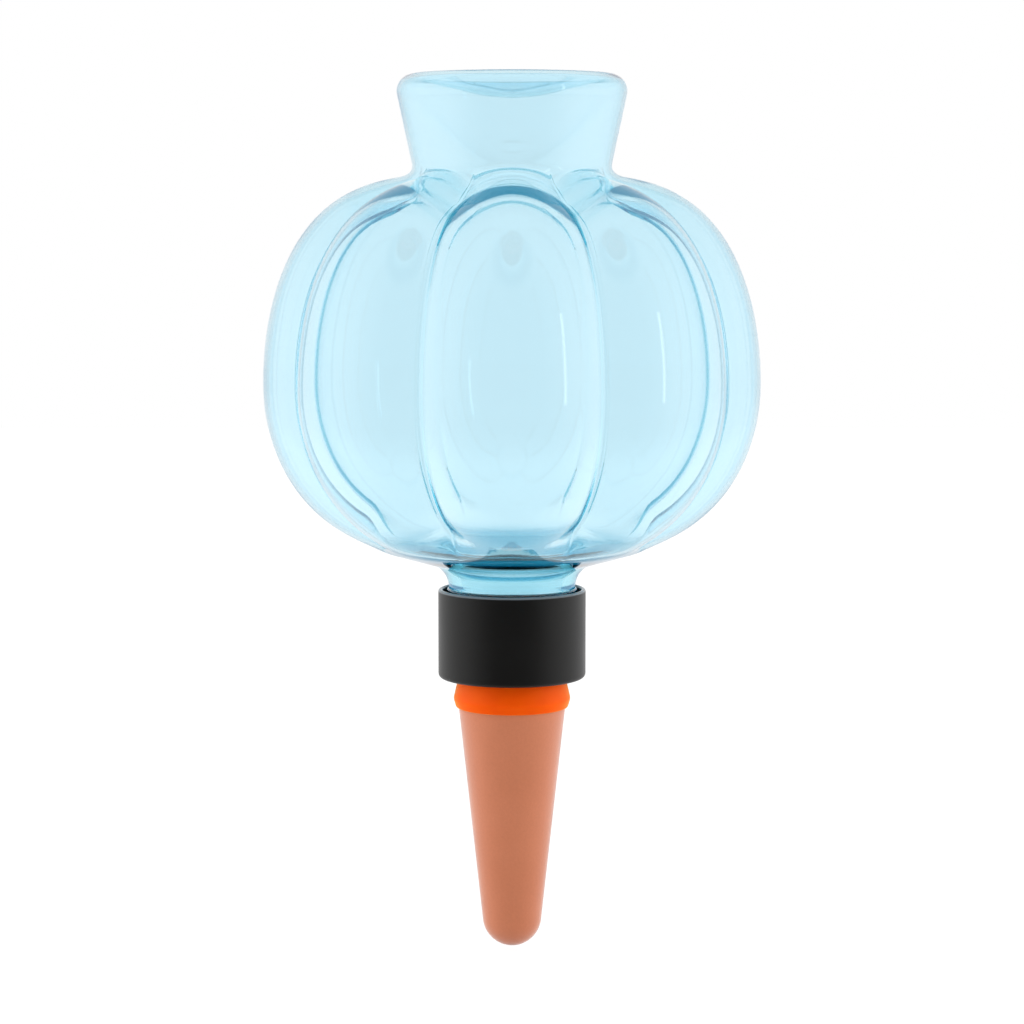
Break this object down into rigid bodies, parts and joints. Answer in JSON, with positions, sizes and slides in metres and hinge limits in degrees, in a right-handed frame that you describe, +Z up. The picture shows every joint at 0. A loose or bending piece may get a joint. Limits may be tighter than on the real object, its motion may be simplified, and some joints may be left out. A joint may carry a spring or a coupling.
{
  "type": "watering globe",
  "caption": "Lobed clear plastic watering globe with a flared filling stand, screwed by a black collar onto a hollow terracotta spike that an orange silicone sleeve seals.",
  "frame": {"origin": "on the axis at the soil line, which is the lower lip of the sleeve's skirt", "axes": "+Z up the axis from the spike to the filling stand; +X and +Y each run through the crest of a lobe, and -Y faces the viewer"},
  "size_m": [0.1044, 0.1044, 0.1846],
  "materials": {
    "clear_plastic": "clear blown PET with a faint blue tint, glossy",
    "black_plastic": "satin moulded polypropylene",
    "orange_silicone": "satin moulded silicone",
    "terracotta": "unglazed, matt and slightly porous"
  },
  "bodies": {
    "spike_set": {"spike": "terracotta", "seal_sleeve": "orange_silicone"},
    "collar": {"screw_collar": "black_plastic"},
    "globe": {"globe": "clear_plastic"}
  },
  "joints": [
    {"name": "collar_turn", "type": "hinge", "parent": "spike_set", "child": "collar", "pos_m": [0, 0, 0.016], "axis": [0, 0, -1], "range_deg": [0, 1440]},
    {"name": "globe_lift", "type": "slide", "parent": "spike_set", "child": "globe", "axis": [0, 0, 1], "range_m": [0, 0.0128]}
  ],
  "couplings": [
    {"joint": "collar_turn", "follows": "globe_lift", "rad_per_m": 1963.5}
  ]
}
